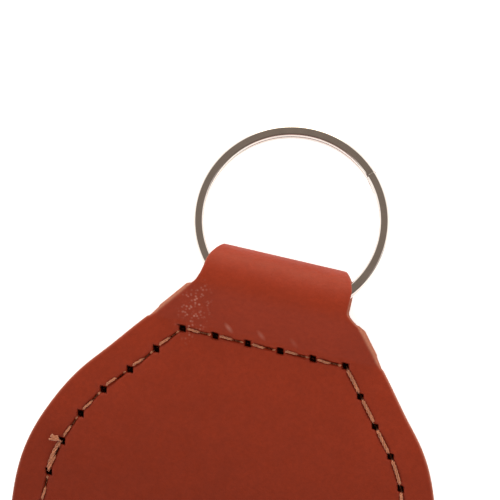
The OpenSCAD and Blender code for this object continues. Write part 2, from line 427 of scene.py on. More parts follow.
# Runs of the loop's rows over the bend and the slope, and what follows them
LOOP_ROWS = np.array([0.0, 0.1, 0.2, 0.3, 0.42, 0.55, 0.7, 0.9, 1.15, 1.45, 1.8, 2.2, 2.65,
                      3.15, 3.7, 4.25])
FOLD_ROWS = 33                   # rows over half the fold
LEAST_STEP = 0.2                 # mm between the last of the first and the first of the second


def loop_runs(path):
    """Runs of the loop's rows, closest together in the bends, where the row's holes reach."""
    far = np.linspace(path.bend_run + path.slope_run, path.half, FOLD_ROWS)
    front = np.concatenate([LOOP_ROWS[LOOP_ROWS < far[0] - LEAST_STEP], far])
    return np.concatenate([front, 2 * path.half - front[-2::-1]])


def edge_profile(leather_t):
    """Steps over the cut edge, from the grain face to the flesh face: (out, down) in mm."""
    quarter = np.linspace(0, math.pi / 2, 5)
    grain = np.stack([EDGE_R * np.sin(quarter), EDGE_R * (1 - np.cos(quarter))], axis=-1)
    flat = np.array([[EDGE_R, leather_t * 0.5], [EDGE_R, leather_t * 0.75]])
    flesh = np.stack([EDGE_R - FLESH_R * (1 - np.cos(quarter)),
                      leather_t - FLESH_R + FLESH_R * np.sin(quarter)], axis=-1)
    return np.concatenate([grain, flat, flesh[::2]])


def warp(points):
    """A slow, slight unevenness of hand-cut leather: crossed sine waves, inwards in plan."""
    x, y, z = points[..., 0], points[..., 1], points[..., 2]
    radius = np.hypot(x, y) + 1e-9
    turn = np.arctan2(x, -y)
    body = smooth(18.0, 27.0, radius) * (1 - smooth(16.0, 24.0, y))
    pull = 0.09 * (1 + np.sin(5 * turn + 0.7)) + 0.05 * (1 + np.sin(13 * turn + 2.1))
    shrink = 1 - body * pull / radius
    return np.stack([x * shrink, y * shrink, z], axis=-1)


def leather_blocks(settings):
    """Every grid of the leather: two panels, the loop, their flesh sides and the cut edge."""
    t = settings.thickness
    path = LoopPath(t)
    edge, out, free = edge_line()
    count = len(edge)
    seam = contour(0.0)
    first = contour(SEAM_ROWS[0])
    rows = [first * k for k in INNER_SCALES]
    rows += [contour(g) for g in SEAM_ROWS]
    rows += [seam + (edge - seam) * p for p in OUTER_PARTS]
    panel = np.stack(rows)
    profile = edge_profile(t)
    wear = smooth(0.0, 0.25, profile[:, 1])
    fade = 1 - smooth(0.55, 1.0, np.linspace(0, 1, len(profile)))
    blocks = []
    ends_at = np.flatnonzero(free)[[0, -1]]
    split = np.arange(ends_at[1] - count, ends_at[0] + 1) % count   # left to right over the neck
    rim = np.arange(ends_at[0], ends_at[1] + 1)                     # then round the body
    across = edge[split, 0] / SPLIT_X

    # Loop: where its rows lie, and the directions along them and out of them
    run = loop_runs(path)
    y, z, ny, nz = path.at(run)
    flat = np.zeros_like(ny)
    normal = np.stack([flat, ny, nz], axis=-1)
    tangent = np.stack([flat, nz, -ny], axis=-1)
    middle = np.stack([flat, y, z], axis=-1)
    x_axis = np.array([1.0, 0.0, 0.0])

    def half_width(s, sign):
        """Half width of one side: the plan's, but no more than the ring's path leaves."""
        y, z, ny, nz = path.at(s)
        short = np.minimum(s, 2 * path.half - s)
        swept = path.half - path.outer_r * math.radians(SWEPT)
        past = np.hypot(np.maximum(swept - short, 0.0), WIDENING_EASE) - WIDENING_EASE
        room = sign * RING_AT[0] + WIDENING * past
        plan = plan_half(y) - EDGE_LEAN * np.maximum(-ny, 0.0)
        return np.minimum(plan, CLEAR_OUT + room), CLEAR_IN + room

    sides = {}
    step = 0.01
    for sign in (-1.0, 1.0):
        width, clear = half_width(run, sign)
        slope = (half_width(run + step, sign)[0] - half_width(run - step, sign)[0]) / (2 * step)
        slope[0], slope[-1] = -math.tan(SHOULDER), math.tan(SHOULDER)
        length = np.hypot(1.0, slope)
        inset = width - EDGE_R * length
        edge_out = (sign / length)[:, None] * x_axis + (-slope / length)[:, None] * tangent
        sides[sign] = inset, edge_out, np.minimum(profile[-1, 0], clear - inset)

    # Faces of the two panels and of the loop, with the seam's relief
    for front in (True, False):
        side = 1.0 if front else -1.0
        height = relief(panel[..., 0], panel[..., 1], settings)
        face = np.concatenate([panel, (side * (HALF_H + height))[..., None]], axis=-1)
        # Below zero the value marks the stitch holes, where the material darkens the colour:
        # painted shade together with the walls' real soiling
        blocks.append((face, -smooth(0.5, 0.9, -height), True))
        # Cut edge of the panel
        plan = edge[rim][None] + profile[:, 0][:, None, None] * out[rim][None]
        low = side * (HALF_H - profile[:, 1][:, None] + fade[:, None] * height[-1][rim][None])
        blocks.append((np.concatenate([plan, low[..., None]], axis=-1), wear[:, None], False))

    # Loop, outer face
    x = np.where(across[None] < 0, sides[-1.0][0][:, None], sides[1.0][0][:, None]) * across[None]
    flat_y = SPLIT_Y + np.minimum(run, 2 * path.half - run)
    low = relief(x, np.broadcast_to(flat_y[:, None], x.shape), settings)
    low = low * smooth(0.0, 0.35, np.abs(run - path.half) / path.half)[:, None]
    loop = middle[:, None] + x[..., None] * x_axis + low[..., None] * normal[:, None]
    # Below zero the value marks the stitch holes, where the material darkens the colour: painted
    # shade together with the walls' real soiling
    blocks.append((loop, -smooth(0.5, 0.9, -low), False))
    # Loop, cut edges
    ends = []
    for sign, column in ((-1.0, 0), (1.0, -1)):
        inset, edge_out, out_in = sides[sign]
        base = middle + sign * inset[:, None] * x_axis
        shift = (out_in - profile[-1, 0])[None, :] * (profile[:, 1] / t)[:, None]
        a = profile[:, 0][:, None] + shift
        b = profile[:, 1][:, None] - fade[:, None] * low[:, column][None]
        grid = base[None] + a[..., None] * edge_out[None] - b[..., None] * normal[None]
        blocks.append((grid, wear[:, None], False))
        ends.append(base + out_in[:, None] * edge_out - t * normal)
    # Loop, flesh side
    centre = middle - t * normal
    weight = np.abs(across)[None, :, None]
    end = np.where((across < 0)[None, :, None], ends[0][:, None], ends[1][:, None])
    flesh = centre[:, None] * (1 - weight) + end * weight
    blocks.append((flesh, 1.0, False))
    # Flesh sides of the panels
    for front in (True, False):
        side = 1.0 if front else -1.0
        z_in = side * (HALF_H - t)
        ring = np.concatenate([edge + profile[-1, 0] * out, np.full((count, 1), z_in)], axis=-1)
        ring[split] = flesh[0 if front else -1]
        ring[..., 2] = z_in
        scale = np.array([1.0, 0.8, 0.5, 0.2, 0.0])[:, None, None]
        hub = np.array([0.0, 0.0, z_in])
        blocks.append((hub + (ring[None] - hub) * scale, 1.0, True))
    return blocks


# ---------------------------------------------------------------- thread


STITCH_SAMPLES = 34              # points of the thread's middle line in one stitch
STITCH_SWAY = 0.1                # mm to one side, by turns, at the middle of a stitch
STITCH_LIFT = 0.08               # mm outwards at the start of a pulled stitch
STITCH_BOW = 0.05                # mm that a slack stitch bows up
DIVE_RUN = (0.3, 0.8)            # mm from a hole, where the thread has dived and is up again
PULLED_SIZE, SLACK_SIZE = 0.7, 0.95  # of the thread's own thickness
PLIES, PLY_SIDES = 3, 8
FRAYED_HOLE = ROW_COUNT + 25     # where the thread ends, on the left side
FIBRES = 18                      # of the frayed end


def stitch_line(front, settings):
    """Closed middle line of one thread: over each stitch it rises, sinks and dips at the holes."""
    u = (np.arange(STITCH_SAMPLES) + 0.5) / STITCH_SAMPLES
    gap = np.roll(HOLES, -1, axis=0) - HOLES
    length = np.linalg.norm(gap, axis=1)
    s = u[None] * length[:, None]
    plan = HOLES[:, None] + gap[:, None] * u[None, :, None]
    aside = np.stack([-gap[:, 1], gap[:, 0]], axis=-1) / length[:, None]
    k = np.arange(len(HOLES))
    pulled = pulled_stitches()[:, None].astype(float)
    sway = STITCH_SWAY * np.sin(2.6 * k)[:, None] * np.sin(math.pi * u)[None]
    lift = STITCH_LIFT * pulled * bell(u - 0.22, 0.12)[None]
    plan = plan + aside[:, None] * (sway + lift)[..., None]
    dive = 2 - smooth(*DIVE_RUN, s) - smooth(*DIVE_RUN, length[:, None] - s)
    depth = settings.dive_depth * dive
    depth = depth + (settings.sink_depth * sunk_part(u))[None] * pulled
    rise = STITCH_BOW * np.sin(math.pi * u)[None] * (1 - pulled)
    z = HALF_H + settings.proud - settings.diameter / 2 - depth + rise
    line = np.concatenate([plan, z[..., None]], axis=-1).reshape(-1, 3)
    return line if front else line * np.array([1.0, 1.0, -1.0])


def stitch_size():
    """Thickness of the thread along each stitch: the pulled stitches are drawn thinner."""
    return np.repeat(np.where(pulled_stitches(), PULLED_SIZE, SLACK_SIZE), STITCH_SAMPLES)


def twisted(line, closed, turns, offset, radius, plies, sides, taper=None):
    """Plies twisted round a line: each ply's centre circles the line, and a small circle
    round that centre is its section. Rows run along the line and columns round the section."""
    if closed:
        tangent = np.roll(line, -1, axis=0) - np.roll(line, 1, axis=0)
    else:
        tangent = np.gradient(line, axis=0)
    tangent /= np.linalg.norm(tangent, axis=1, keepdims=True)
    up = np.array([0.0, 0.0, 1.0])
    aside = np.cross(up, tangent)
    aside /= np.linalg.norm(aside, axis=1, keepdims=True) + 1e-9
    over = np.cross(tangent, aside)
    step = np.linalg.norm(np.diff(line, axis=0, append=line[:1]), axis=1)
    run = np.concatenate([[0.0], np.cumsum(step)[:-1]])
    angle = 2 * math.pi * turns * run / step.sum()
    size = np.ones(len(line)) if taper is None else taper
    around = np.linspace(0, 2 * math.pi, sides, endpoint=False)
    blocks = []
    for ply in range(plies):
        a = angle + 2 * math.pi * ply / plies
        centre = line + (offset * size * np.cos(a))[:, None] * aside
        centre = centre + (offset * size * np.sin(a))[:, None] * over
        wall = np.cos(around)[None, :, None] * aside[:, None]
        wall = wall + np.sin(around)[None, :, None] * over[:, None]
        grid = centre[:, None] + wall * (radius * size)[:, None, None]
        if closed:
            grid = np.concatenate([grid, grid[:1]])
        else:
            first = np.repeat(centre[:1, None], sides, axis=1)
            last = np.repeat(centre[-1:, None], sides, axis=1)
            grid = np.concatenate([first, grid, last])
        blocks.append((grid, np.full(grid.shape[:2], ply / max(plies - 1, 1)), True))
    return blocks


def loose_end(settings):
    """Fibres of the thread's frayed end beside a hole: each is a thin bowed tube."""
    hole = HOLES[FRAYED_HOLE]
    out = hole / np.linalg.norm(hole)
    aside = np.array([-out[1], out[0]])
    u = np.linspace(0, 1, 9)
    blocks = []
    for k in range(FIBRES):
        spread = math.sin(2.4 * k) * (0.2 + 0.35 * (k % 3) / 3)
        reach = 1.0 + 0.35 * math.cos(1.7 * k)
        high = 0.25 + 0.3 * (math.sin(3.1 * k) + 1) / 2
        plan = hole + out * (0.1 + reach * u)[:, None] + aside * (spread * u ** 1.5 + 0.1)[:, None]
        z = HALF_H - 0.35 + (high + 0.45) * np.sin(math.pi * 0.62 * u) + 0.04 * np.sin(9 * u + k)
        line = np.concatenate([plan, z[:, None]], axis=-1)
        blocks += twisted(line, False, 1, 0.0, 0.1, 1, 6, 0.75 + 0.45 * smooth(0.2, 0.7, u))
    return blocks


def double_stitch(settings):
    """A second strand beside the last stitch before the frayed end."""
    low, high = HOLES[FRAYED_HOLE - 1], HOLES[FRAYED_HOLE]
    gap = high - low
    aside = np.array([gap[1], -gap[0]]) / np.linalg.norm(gap)
    u = np.linspace(0, 1, 60)
    side = 0.34 * np.sin(math.pi * np.clip(u, 0.04, 0.96)) ** 0.5
    plan = low + gap * u[:, None] - aside * side[:, None]
    z = HALF_H + settings.proud - 0.16 - 0.75 * (bell(u, 0.09) + bell(1 - u, 0.09))
    line = np.concatenate([plan, z[:, None]], axis=-1)
    return twisted(line, False, settings.twists, settings.ply_offset, settings.ply_radius, PLIES,
                   PLY_SIDES)


# ---------------------------------------------------------------- ring


CORNER_LEAD = 0.05               # mm of flat side kept straight beside each rounded corner
WIRE_SAMPLES = 900               # sections over the two turns of the wire
STEP_ROWS = 41                   # sections over the step
STEP_REACH = 1.3                 # half widths of the step that those sections cover
WEDGE_REACH = 0.66               # half widths of the step that each wedge end reaches past it
WEDGE_RIM = 0.98                 # share of that reach where the flat of the wedge stops


def wire_section(width, thick, edge_r):
    """Rounded rectangle about the wire's middle: quarter circles joined by flat sides."""
    quarter = np.linspace(0, math.pi / 2, 6)
    parts = []
    for k, (sx, sz) in enumerate(((1, 1), (-1, 1), (-1, -1), (1, -1))):
        a = quarter + k * math.pi / 2
        cx, cz = sx * (width / 2 - edge_r), sz * (thick / 2 - edge_r)
        corner = np.stack([cx + edge_r * np.cos(a), cz + edge_r * np.sin(a)], axis=-1)
        lead = np.array([-math.sin(a[0]), math.cos(a[0])]) * CORNER_LEAD
        follow = np.array([-math.sin(a[-1]), math.cos(a[-1])]) * CORNER_LEAD
        parts.append(np.concatenate([corner[:1] - lead, corner, corner[-1:] + follow]))
    return np.concatenate(parts)


def wire_rows(settings):
    """The wire's section carried twice round the ring: it climbs by one coil at the step.

    Each end is ground to a wedge that lies on the climbing stretch: over the step the upper
    end's underside follows the climb, and the lower end's top side does.
    """
    step = math.radians(settings.step_turn)
    half = math.radians(settings.step_arc) / 2
    thick = settings.coil_thickness
    pitch = thick + COIL_GAP
    around = 2 * math.pi
    reach = WEDGE_REACH * half
    rim = WEDGE_RIM * reach
    wide = STEP_REACH * half
    turn = np.linspace(-reach, 2 * around + reach, WIRE_SAMPLES)
    near = np.unique(np.concatenate([np.linspace(-wide, wide, STEP_ROWS),
                                     [-reach, -rim, rim, reach]]))
    far = np.abs((turn + math.pi) % around - math.pi) > wide
    ends = near[np.abs(near) <= reach]
    first_end = np.concatenate([ends, near[near > reach]])
    turn = np.unique(np.concatenate([turn[far], first_end, near + around, 2 * around - first_end]))
    level = (smooth(-half, half, turn - around) - 0.5) * pitch
    climb = (smooth(-half, half, turn) - 0.5) * pitch
    top = np.minimum(level + thick / 2, climb - thick / 2 - COIL_GAP)
    top = np.where(turn < half, top, level + thick / 2)
    climb = (smooth(-half, half, turn - 2 * around) - 0.5) * pitch
    low = np.maximum(level - thick / 2, climb + thick / 2 + COIL_GAP)
    low = np.where(turn > 2 * around - half, low, level - thick / 2)
    section = wire_section(settings.wire_width, thick, settings.edge_radius)
    middle_r = RING_R - settings.wire_width / 2
    r = middle_r + np.broadcast_to(section[None, :, 0], (len(turn), len(section)))
    from_top = np.maximum(top[:, None] + section[None, :, 1] - thick / 2, low[:, None])
    from_low = np.minimum(low[:, None] + section[None, :, 1] + thick / 2, top[:, None])
    h = np.where((turn > around)[:, None], from_top, from_low)
    a = (turn + step)[:, None]
    grid = np.stack([r * np.cos(a), r * np.sin(a), h], axis=-1)
    first = np.repeat(grid[:1].mean(axis=1, keepdims=True), grid.shape[1], axis=1)
    last = np.repeat(grid[-1:].mean(axis=1, keepdims=True), grid.shape[1], axis=1)
    return np.concatenate([first, grid, last])


# ---------------------------------------------------------------- materials


class Nodes:
    """Small helper that adds nodes to one material and links them."""

    def __init__(self, name):
        self.material = bpy.data.materials.new(name)
        self.material.use_nodes = True
        self.tree = self.material.node_tree
        self.shader = self.tree.nodes["Principled BSDF"]
        self.place = self.add("ShaderNodeTexCoord").outputs["Object"]

    def add(self, kind, **values):
        """A new node with its own settings."""
        node = self.tree.nodes.new(kind)
        for key, value in values.items():
            setattr(node, key, value)
        return node

    def link(self, source, target):
        self.tree.links.new(source, target)

    def noise(self, size_mm, detail=3.0, rough=0.55, stretch=None):
        """Noise whose features are about size_mm across."""
        node = self.add("ShaderNodeTexNoise")
        node.inputs["Scale"].default_value = 1.0 / (size_mm * MM)
        node.inputs["Detail"].default_value = detail
        node.inputs["Roughness"].default_value = rough
        if stretch is None:
            self.link(self.place, node.inputs["Vector"])
        else:
            turn, scale = stretch
            mapping = self.add("ShaderNodeMapping")
            mapping.inputs["Rotation"].default_value = (0, 0, turn)
            mapping.inputs["Scale"].default_value = scale
            self.link(self.place, mapping.inputs["Vector"])
            self.link(mapping.outputs["Vector"], node.inputs["Vector"])
        return node.outputs["Fac"]

    def scatter(self, size_mm):
        """Distance to the nearest of scattered points about size_mm apart."""
        node = self.add("ShaderNodeTexVoronoi", feature="F1")
        node.inputs["Scale"].default_value = 1.0 / (size_mm * MM)
        self.link(self.place, node.inputs["Vector"])
        return node.outputs["Distance"]

    def between(self, value, low, high, to_low=0.0, to_high=1.0):
        """The value moved from one range to another and held inside it."""
        node = self.add("ShaderNodeMapRange", clamp=True)
        node.inputs["From Min"].default_value = low
        node.inputs["From Max"].default_value = high
        node.inputs["To Min"].default_value = to_low
        node.inputs["To Max"].default_value = to_high
        self.link(value, node.inputs["Value"])
        return node.outputs["Result"]

    def math(self, operation, a, b):
        """One sum of two values, each a number or another node's output."""
        node = self.add("ShaderNodeMath", operation=operation)
        for socket, value in zip(node.inputs, (a, b)):
            if isinstance(value, (int, float)):
                socket.default_value = value
            else:
                self.link(value, socket)
        return node.outputs[0]

    def mix(self, factor, a, b, blend="MIX"):
        """Colour a passing into colour b."""
        node = self.add("ShaderNodeMix", data_type="RGBA", blend_type=blend)
        for socket, value in ((node.inputs[0], factor), (node.inputs[6], a), (node.inputs[7], b)):
            if isinstance(value, (float, tuple)):
                socket.default_value = value
            else:
                self.link(value, socket)
        return node.outputs[2]

    def attribute(self, name):
        """The value that the mesh holds at each point under this name."""
        node = self.add("ShaderNodeAttribute", attribute_type="GEOMETRY", attribute_name=name)
        return node.outputs["Fac"]

    def bump(self, heights):
        """Bumps laid one over the other: each is (height, its rise in mm, strength)."""
        normal = None
        for height, rise, strength in heights:
            node = self.add("ShaderNodeBump")
            node.inputs["Distance"].default_value = rise * MM
            node.inputs["Strength"].default_value = strength
            self.link(height, node.inputs["Height"])
            if normal is not None:
                self.link(normal, node.inputs["Normal"])
            normal = node.outputs["Normal"]
        self.link(normal, self.shader.inputs["Normal"])

    def set(self, **values):
        """Constants of the shader's own sockets."""
        for key, value in values.items():
            self.shader.inputs[key.replace("_", " ")].default_value = value


def rgba(colour, factor=1.0):
    """An RGBA tuple from a colour property, made lighter or darker by a factor."""
    return tuple(min(1.0, c * factor) for c in colour[:3]) + (1.0,)


PUCKER_AT = (1.5, 1.35)          # mm from a hole of the row to the middle of its pucker
PUCKER_SIZE = (0.9, 0.36)        # mm, half its length and half its width
PUCKER_SLANT = math.radians(38)


def puckers(n, axes):
    """Short slanted ridges over the row, one for each stitch, fading towards the right.

    Along X the place is taken within one stitch, u = fract(x / pitch + start) - 1/2.
    """
    row_y = FOB_AT[1] + ROW_Y * FOB_Y[1] + HALF_H * FOB_Z[1]
    start = (ROW_HALF - PUCKER_AT[0]) / ROW_PITCH + 0.5
    stitches = n.math("DIVIDE", axes.outputs["X"], ROW_PITCH * MM)
    u = n.math("FRACT", n.math("ADD", stitches, start), 0.0)
    both = n.add("ShaderNodeCombineXYZ")
    n.link(n.math("MULTIPLY", n.math("SUBTRACT", u, 0.5), ROW_PITCH * MM), both.inputs["X"])
    n.link(n.math("SUBTRACT", axes.outputs["Y"], (row_y + PUCKER_AT[1]) * MM), both.inputs["Y"])
    turn = n.add("ShaderNodeMapping")
    turn.inputs["Rotation"].default_value = (0, 0, PUCKER_SLANT)
    n.link(both.outputs[0], turn.inputs["Vector"])
    squeeze = n.add("ShaderNodeVectorMath", operation="DIVIDE")
    squeeze.inputs[1].default_value = (PUCKER_SIZE[0] * MM, PUCKER_SIZE[1] * MM, 1.0)
    n.link(turn.outputs[0], squeeze.inputs[0])
    length = n.add("ShaderNodeVectorMath", operation="LENGTH")
    n.link(squeeze.outputs[0], length.inputs[0])
    ridge = n.between(length.outputs["Value"], 0.1, 1.0, 1.0, 0.0)
    fading = n.between(axes.outputs["X"], -6 * MM, 7 * MM, 1.0, 0.0)
    begun = n.between(axes.outputs["X"], -7.2 * MM, -6.8 * MM)
    return n.math("MULTIPLY", ridge, n.math("MULTIPLY", fading, begun))


CREASE_AT = (-9.6, 13.2)         # mm, middle of the creases beside the row
CREASE_SQUEEZE = (1.5, 0.8)      # how much they are drawn in along X and along Y


def leather_material(settings):
    """Smooth vegetable-tanned leather: cloudy brown dye, fine pores, pale creases, raw edges,
    painted light towards the neck and painted shade in the holes.
    """
    n = Nodes("brown_leather")
    cloud = n.between(n.noise(9.0, 4.0, 0.6), 0.3, 0.7)
    fleck = n.between(n.noise(0.55, 3.0, 0.65), 0.35, 0.65)
    base = n.mix(cloud, rgba(settings.colour, 0.93), rgba(settings.colour, 1.07))
    patch = n.between(n.noise(2.4, 4.0, 0.65), 0.35, 0.65)
    base = n.mix(n.math("MULTIPLY", patch, 0.4), base, rgba(settings.colour, 1.16))
    base = n.mix(n.math("MULTIPLY", fleck, 0.45), base, rgba(settings.colour, 0.8))

    # Pale pebbled creases at the left of the neck, where the blank was folded
    spot = n.add("ShaderNodeMapping")
    spot.inputs["Location"].default_value = (-CREASE_AT[0] * CREASE_SQUEEZE[0] * MM,
                                             -CREASE_AT[1] * CREASE_SQUEEZE[1] * MM, 0)
    spot.inputs["Scale"].default_value = (*CREASE_SQUEEZE, 0.0)
    n.link(n.place, spot.inputs["Vector"])
    length = n.add("ShaderNodeVectorMath", operation="LENGTH")
    n.link(spot.outputs["Vector"], length.inputs[0])
    near = n.between(length.outputs["Value"], 0.8 * MM, 3.8 * MM, 1.0, 0.0)
    pebble = n.between(n.scatter(0.42), 0.1, 0.5, 1.0, 0.0)
    band = n.between(n.noise(0.8, 2.0, 0.5, (0.5, (1.0, 0.45, 1.0))), 0.4, 0.56)
    crease = n.math("MULTIPLY", n.math("MULTIPLY", pebble, band), n.math("MULTIPLY", near, 0.5))
    base = n.mix(crease, base, rgba(settings.crease_colour))
    axes = n.add("ShaderNodeSeparateXYZ")
    n.link(n.place, axes.inputs[0])
    pucker = puckers(n, axes)
    base = n.mix(n.math("MULTIPLY", pucker, 0.3), base, rgba(settings.crease_colour))

    # Painted light: the leather is painted lighter towards the neck and darker towards the far
    # rim, where the light from beyond the ring falls off
    pale = n.between(axes.outputs["Y"], -10 * MM, 14 * MM)
    painted_light_tone = n.mix(pale, (0.92, 0.92, 0.92, 1.0), (1.29, 1.27, 1.25, 1.0))
    base = n.mix(1.0, base, painted_light_tone, "MULTIPLY")

    # Undyed fibre on the cut edge and the flesh side, and in the holes painted shade together with
    # the real soiling of their walls
    value = n.attribute("raw")
    raw = n.between(value, 0.0, 1.0)
    deep = n.between(value, -1.0, -0.1, 0.12, 1.0)
    fibre = n.between(n.noise(0.25, 4.0, 0.7), 0.3, 0.7)
    flesh = n.mix(fibre, rgba(settings.edge_colour, 0.7), rgba(settings.edge_colour, 1.15))
    colour = n.mix(raw, base, flesh)
    dark = n.add("ShaderNodeVectorMath", operation="SCALE")
    n.link(colour, dark.inputs[0])
    n.link(deep, dark.inputs["Scale"])
    n.link(dark.outputs[0], n.shader.inputs["Base Color"])
    rough = n.between(n.noise(1.4, 3.0, 0.6), 0.3, 0.7, 0.46, 0.58)
    n.link(n.math("MAXIMUM", rough, n.math("MULTIPLY", raw, 0.85)), n.shader.inputs["Roughness"])
    n.set(Specular_IOR_Level=0.14)
    grain = n.between(n.scatter(0.36), 0.0, 0.6)
    n.bump([(n.noise(3.2, 2.0, 0.5), 0.09, 0.5), (grain, 0.03, 0.45),
            (n.noise(0.16, 3.0, 0.6), 0.02, 0.5), (crease, 0.05, 0.6), (pucker, 0.12, 0.6)])
    return n.material


def thread_material(settings):
    """Waxed thread: ochre-tan plies with a fine lengthwise mottle and a soft fibre sheen."""
    n = Nodes("tan_thread")
    ply = n.attribute("ply")
    mottle = n.between(n.noise(0.5, 3.0, 0.6), 0.35, 0.65)
    base = n.mix(mottle, rgba(settings.colour, 0.72), rgba(settings.colour, 1.2))
    base = n.mix(n.math("MULTIPLY", ply, 0.35), base, rgba(settings.colour, 0.8))
    n.link(base, n.shader.inputs["Base Color"])
    n.set(Roughness=0.62, Specular_IOR_Level=0.3, Sheen_Weight=0.25, Sheen_Roughness=0.5)
    n.bump([(n.noise(0.07, 2.0, 0.6), 0.02, 0.6)])
    return n.material


def nickel_material(settings):
    """Polished nickel plate: bright metal, faint tumbling marks and slightly uneven gloss."""
    n = Nodes("polished_nickel")
    shade = n.between(n.noise(2.5, 3.0, 0.6), 0.3, 0.7)
    n.link(n.mix(shade, rgba(settings.colour, 0.94), rgba(settings.colour, 1.04)),
           n.shader.inputs["Base Color"])
    gloss = n.between(n.noise(0.9, 4.0, 0.7), 0.3, 0.7, settings.roughness * 0.8,
                      settings.roughness * 1.3)
    n.link(gloss, n.shader.inputs["Roughness"])
    n.set(Metallic=1.0)
    n.bump([(n.noise(1.3, 2.0, 0.5), 0.012, 0.3), (n.noise(0.12, 2.0, 0.6), 0.003, 0.35)])
    return n.material


# ---------------------------------------------------------------- settings


def length_mm(name, about, default, low, high):
    """A length property in mm."""
    return FloatProperty(name=name, description=about + ", in mm", default=default, min=low,
                         max=high, precision=3)


def angle_deg(name, about, default, low, high):
    """An angle property in degrees."""
    return FloatProperty(name=name, description=about + ", in degrees", default=default, min=low,
                         max=high)


def colour_of(name, about, default):
    """A linear colour property."""
    return FloatVectorProperty(name=name, description=about, default=default, size=3,
                               min=0.0, max=1.0, subtype="COLOR")


class LeatherSettings(bpy.types.PropertyGroup):
    """Sizes and colours of the leather."""
    thickness: length_mm("Thickness", "Thickness of the leather", LEATHER_T, 1.0, 2.0)
    groove_depth: length_mm("Groove depth", "Depth of the groove under the thread", 0.26, 0, 0.5)
    sunk_depth: length_mm("Sunk depth", "Extra depth where a stitch has sunk", 0.45, 0, 0.6)
    seam_dip: length_mm("Seam dip", "Depth of the wide dip along the seam", 0.1, 0, 0.3)
    hole_length: length_mm("Hole length", "Long diagonal of a stitch hole", 1.3, 0.5, 2)
    hole_width: length_mm("Hole width", "Short diagonal of a stitch hole", 0.98, 0.3, 1.5)
    hole_depth: length_mm("Hole depth", "Depth of a stitch hole", 1.38, 0.2, 1.4)
    hole_slant: angle_deg("Hole slant", "Slant of the holes", -38.0, -90, 90)
    colour: colour_of("Colour", "Dyed grain side", (0.215, 0.0235, 0.0075))
    edge_colour: colour_of("Edge colour", "Cut edge and flesh side", (0.36, 0.118, 0.067))
    crease_colour: colour_of("Crease colour", "Worn tops of the creases", (0.50, 0.25, 0.19))


class ThreadSettings(bpy.types.PropertyGroup):
    """Sizes and colour of the thread."""
    diameter: length_mm("Diameter", "Diameter of the thread", 0.55, 0.3, 0.8)
    proud: length_mm("Proud", "How far a stitch stands out of the leather", 0.15, 0, 0.2)
    ply_radius: length_mm("Ply radius", "Radius of one ply", 0.11, 0.05, 0.3)
    ply_offset: length_mm("Ply offset", "Distance of a ply from the thread's middle", 0.125, 0.05,
                          0.3)
    dive_depth: length_mm("Dive depth", "How deep the thread dives at a hole", 1.45, 0.3, 1.6)
    sink_depth: length_mm("Sink depth", "How deep a pulled stitch sinks", 0.7, 0, 1.0)
    twists: IntProperty(name="Twists", description="Twists of the plies in one stitch", default=4,
                        min=1, max=12)
    colour: colour_of("Colour", "Waxed thread", (0.46, 0.16, 0.072))


class RingSettings(bpy.types.PropertyGroup):
    """Sizes and finish of the split ring."""
    wire_width: length_mm("Wire width", "Width of the wire along the radius", 1.25, 0.5, 2)
    coil_thickness: length_mm("Coil thickness", "Thickness of one coil", COIL_T, 0.5, 1.5)
    edge_radius: length_mm("Edge radius", "Rounding of the wire's edges", 0.25, 0.1, 0.4)
    step_turn: angle_deg("Step place", "Place of the step round the ring", 39.0, -180, 180)
    step_arc: angle_deg("Step arc", "Arc of the step", 16.0, 8, 40)
    roughness: FloatProperty(name="Roughness", description="Roughness of the plate", default=0.1,
                             min=0, max=1)
    colour: colour_of("Colour", "Nickel plate", (0.74, 0.67, 0.61))


class StageSettings(bpy.types.PropertyGroup):
    """Floor, light and camera."""
    floor_colour: colour_of("Floor", "Colour of the floor", (0.93, 0.93, 0.93))
    floor_glow: FloatProperty(name="Floor glow", description="Light of the back-lit floor",
                              default=0.55, min=0, max=5)
    sky: FloatProperty(name="Sky", description="Strength of the room's light", default=1.04,
                       min=0, max=5)
    key: FloatProperty(name="Key light", description="Power of the soft lamp", default=0.4, min=0,
                       max=50, unit="POWER")
    lens: FloatProperty(name="Lens", description="Focal length, in mm", default=224.2, min=10,
                        max=500)
    distance: FloatProperty(name="Distance", description="Camera distance, in metres", default=0.4,
                            min=0.1, max=5, unit="LENGTH")


# ---------------------------------------------------------------- operators


class KEYFOB_OT_leather(bpy.types.Operator):
    """Makes the folded leather blank with its seam, holes and cut edges"""
    bl_idname = "keyfob.leather"
    bl_label = "Leather"

    def execute(self, context):
        settings = context.scene.keyfob_leather
        # The raw values: above zero the undyed cut edge and flesh side, below zero the stitch
        # holes, which the material darkens as painted shade together with their real soiling
        points, raw, faces = weld(leather_blocks(settings))
        points = lay(warp(points), FOB_AT, FOB_X, FOB_Y, FOB_Z)
        piece = add_piece("leather_body", points, faces, raw, "raw")
        piece.data.materials.append(leather_material(settings))
        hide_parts("leather_fob")
        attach(piece, "fob")
        return {"FINISHED"}


class KEYFOB_OT_threads(bpy.types.Operator):
    """Makes the needle thread on the front and the bobbin thread on the back"""
    bl_idname = "keyfob.threads"
    bl_label = "Threads"

    def execute(self, context):
        settings = context.scene.keyfob_thread
        material = thread_material(settings)
        turns = settings.twists * len(HOLES)
        for name, node, front in (("needle_stitches", "needle_thread", True),
                                  ("bobbin_stitches", "bobbin_thread", False)):
            line = stitch_line(front, settings)
            blocks = twisted(line, True, turns, settings.ply_offset, settings.ply_radius, PLIES,
                             PLY_SIDES, stitch_size())
            if front:
                blocks += loose_end(settings) + double_stitch(settings)
            points, ply, faces = weld(blocks)
            points = lay(points, FOB_AT, FOB_X, FOB_Y, FOB_Z)
            piece = add_piece(name, points, faces, ply, "ply")
            piece.data.materials.append(material)
            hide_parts(node)
            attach(piece, "fob")
        return {"FINISHED"}


